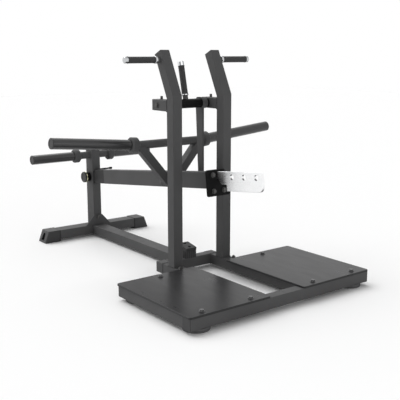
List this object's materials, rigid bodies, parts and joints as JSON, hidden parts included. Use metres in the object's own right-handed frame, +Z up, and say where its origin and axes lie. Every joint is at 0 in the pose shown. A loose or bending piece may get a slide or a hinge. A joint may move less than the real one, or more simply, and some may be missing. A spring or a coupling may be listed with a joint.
{
  "type": "belt squat machine",
  "caption": "Lever-arm belt squat machine with foot plates, bent uprights with hand grips, a swing-away catch, tilted weight horns on a hooked lever and storage horns on a rear post.",
  "frame": {"origin": "on the floor, below the centre of the overall box", "axes": "+X to the right of someone who looks from the platform's front edge to the rear post, +Y from the platform to the rear post, +Z up"},
  "size_m": [1.2682, 1.641, 1.0489],
  "materials": {
    "frame_paint": "fine satin powder coat",
    "deck_paint": "satin powder coat",
    "black_paint": "satin black powder coat",
    "sleeve_steel": "smooth satin coat",
    "bright_chrome": "polished",
    "hook_steel": "brushed and polished",
    "bolt_steel": "black oxide",
    "black_rubber": "matt",
    "black_plastic": "fine moulded grain",
    "foot_rubber": "matt, slightly dusty",
    "ring_brass": "smooth pale brass"
  },
  "bodies": {
    "frame": {"front_tube": "frame_paint", "side_tube_left": "frame_paint", "side_tube_right": "frame_paint", "rear_tube_left": "frame_paint", "rear_tube_right": "frame_paint", "rail_left": "frame_paint", "rail_right": "frame_paint", "cross_tube": "frame_paint", "main_beam": "frame_paint", "rear_stabilizer": "frame_paint", "rear_post": "frame_paint", "rear_joint_plate": "frame_paint", "storage_tube": "frame_paint", "storage_collars": "frame_paint", "upright_left": "frame_paint", "upright_right": "frame_paint", "upper_bracket_left": "frame_paint", "upper_bracket_right": "frame_paint", "bump_stop_bracket": "frame_paint", "grip_bars": "frame_paint", "foot_plate_left": "deck_paint", "foot_plate_right": "deck_paint", "lever_stop_pin": "black_paint", "pivot_housings": "black_paint", "storage_sleeve_left": "sleeve_steel", "storage_sleeve_right": "sleeve_steel", "grip_rings": "bright_chrome", "frame_bolts": "bolt_steel", "plate_bolts": "bolt_steel", "grip_left": "black_rubber", "grip_right": "black_rubber", "bump_stop_pad": "black_rubber", "platform_feet": "foot_rubber", "frame_end_caps": "black_plastic", "stabilizer_cap_left": "black_plastic", "stabilizer_cap_right": "black_plastic", "rear_post_cap": "black_plastic", "upright_caps": "black_plastic", "storage_end_caps": "black_plastic", "pivot_caps": "black_plastic", "pivot_rings": "ring_brass"},
    "lever": {"lever_arm": "frame_paint", "pivot_yoke": "black_paint", "pivot_axle": "hook_steel", "load_tube": "frame_paint", "strut_left": "frame_paint", "strut_right": "frame_paint", "load_collars": "frame_paint", "load_sleeve_left": "sleeve_steel", "load_sleeve_right": "sleeve_steel", "load_end_caps": "black_plastic", "flange_plate": "black_paint", "hook_plate": "hook_steel", "flange_bolts": "bolt_steel", "catch_peg": "black_paint"},
    "catch": {"catch_shaft": "black_paint", "catch_plate": "frame_paint", "handle_rod": "frame_paint", "handle_rings": "bright_chrome", "handle_grip": "black_rubber"}
  },
  "joints": [
    {"name": "lever_pivot", "type": "hinge", "parent": "frame", "child": "lever", "pos_m": [0, 0.781, 0.34], "axis": [-1, 0, 0], "range_deg": [-17.9, 10]},
    {"name": "catch_swing", "type": "hinge", "parent": "frame", "child": "catch", "pos_m": [0, -0.1245, 0.804], "axis": [1, 0, 0], "range_deg": [0, 7.5]}
  ]
}
